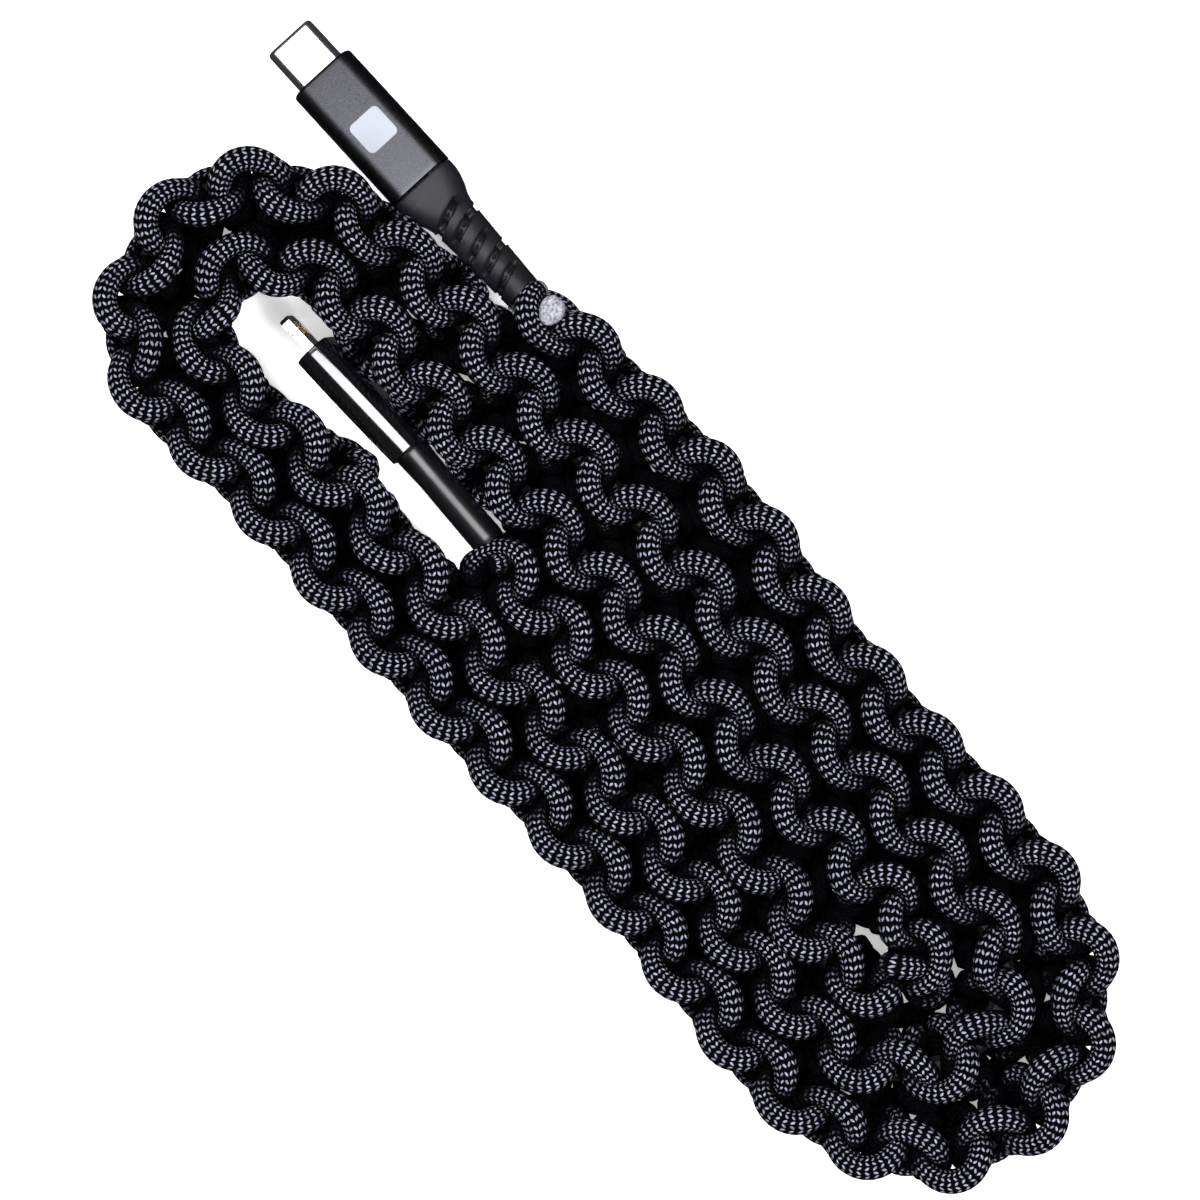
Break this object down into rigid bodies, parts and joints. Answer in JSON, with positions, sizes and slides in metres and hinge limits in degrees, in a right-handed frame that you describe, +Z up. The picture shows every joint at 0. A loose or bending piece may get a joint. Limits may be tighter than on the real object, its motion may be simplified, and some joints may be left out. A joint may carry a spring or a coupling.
{
  "type": "charging cable",
  "caption": "Charging cable wrapped in a cobra-knot paracord weave, laid in a flat oblong spiral, with a type-C plug at one end and a slim flat plug at the other.",
  "frame": {"origin": "middle of the footprint, on the table the cable lies on", "axes": "+X is the way both plugs point, along the long side of the spiral; +Z is up, away from the table; +Y is the side the spiral winds to from the type-C plug"},
  "size_m": [0.2077, 0.0639, 0.016],
  "materials": {
    "paracord": "braided nylon sheath, near-black with pale tracer flecks",
    "melted_cord": "cut cord end, melted pale and fuzzy",
    "jacket": "smooth matte black cable jacket",
    "copper": "bare copper",
    "relief": "matte black moulded elastomer",
    "satin_relief": "satin black moulded elastomer",
    "anodised_black": "black anodised, fine grain",
    "black_gloss": "glossy black",
    "mark_white": "plain white printed disc",
    "bright_steel": "polished stainless steel",
    "black_plastic": "black moulded plastic",
    "gold": "gold plated",
    "board": "green solder mask",
    "mould": "off-white inner moulding",
    "wire_red": "red insulation",
    "wire_black": "black insulation",
    "wire_green": "green insulation",
    "wire_white": "white insulation"
  },
  "bodies": {
    "woven_cable": {"paracord_weave": "paracord", "melted_cord_end_upper": "melted_cord", "melted_cord_end_lower": "melted_cord", "cable_jacket": "jacket", "cable_core": "copper"},
    "type_c_relief": {"type_c_relief_flex": "relief", "type_c_cable_in_relief": "jacket"},
    "type_c_plug": {"type_c_shell": "bright_steel", "type_c_insulator": "black_plastic", "type_c_contacts_upper": "gold", "type_c_contacts_lower": "gold", "type_c_latch_plate": "bright_steel", "type_c_board": "board", "type_c_power_chip": "black_plastic", "type_c_inner_mould": "mould", "type_c_crimp": "copper", "type_c_housing": "anodised_black", "type_c_mark_panel": "mark_white", "type_c_relief_collar": "relief", "type_c_cable_end": "jacket", "type_c_wire_power": "wire_red", "type_c_wire_data_plus": "wire_green", "type_c_wire_data_minus": "wire_white", "type_c_wire_ground": "wire_black"},
    "slim_relief": {"slim_relief_flex": "satin_relief", "slim_cable_in_relief": "jacket"},
    "slim_plug": {"slim_tongue": "bright_steel", "slim_contact_carrier": "black_plastic", "slim_contacts_upper": "gold", "slim_contacts_lower": "gold", "slim_board": "board", "slim_identity_chip": "black_plastic", "slim_shield_can": "bright_steel", "slim_inner_mould": "mould", "slim_crimp": "copper", "slim_housing": "black_gloss", "slim_relief_collar": "satin_relief", "slim_cable_end": "jacket", "slim_wire_power": "wire_red", "slim_wire_data_plus": "wire_green", "slim_wire_data_minus": "wire_white", "slim_wire_ground": "wire_black"}
  },
  "joints": [
    {"name": "type_c_neck_yaw", "type": "hinge", "parent": "woven_cable", "child": "type_c_relief", "pos_m": [0.04947, -0.0286, 0.00798], "axis": [0, 0, 1], "range_deg": [-25, 0], "stiffness_Nm_per_rad": 0.05},
    {"name": "type_c_lift", "type": "hinge", "parent": "type_c_relief", "child": "type_c_plug", "pos_m": [0.06904, -0.02566, 0.00891], "axis": [0, -1, 0], "range_deg": [0, 35], "stiffness_Nm_per_rad": 0.05},
    {"name": "slim_neck_yaw", "type": "hinge", "parent": "woven_cable", "child": "slim_relief", "pos_m": [0.0244, 0.0043, 0.008], "axis": [0, 0, 1], "range_deg": [0, 4], "stiffness_Nm_per_rad": 0.05},
    {"name": "slim_lift", "type": "hinge", "parent": "slim_relief", "child": "slim_plug", "pos_m": [0.04053, 0.00393, 0.01003], "axis": [0, -1, 0], "range_deg": [0, 35], "stiffness_Nm_per_rad": 0.05}
  ]
}
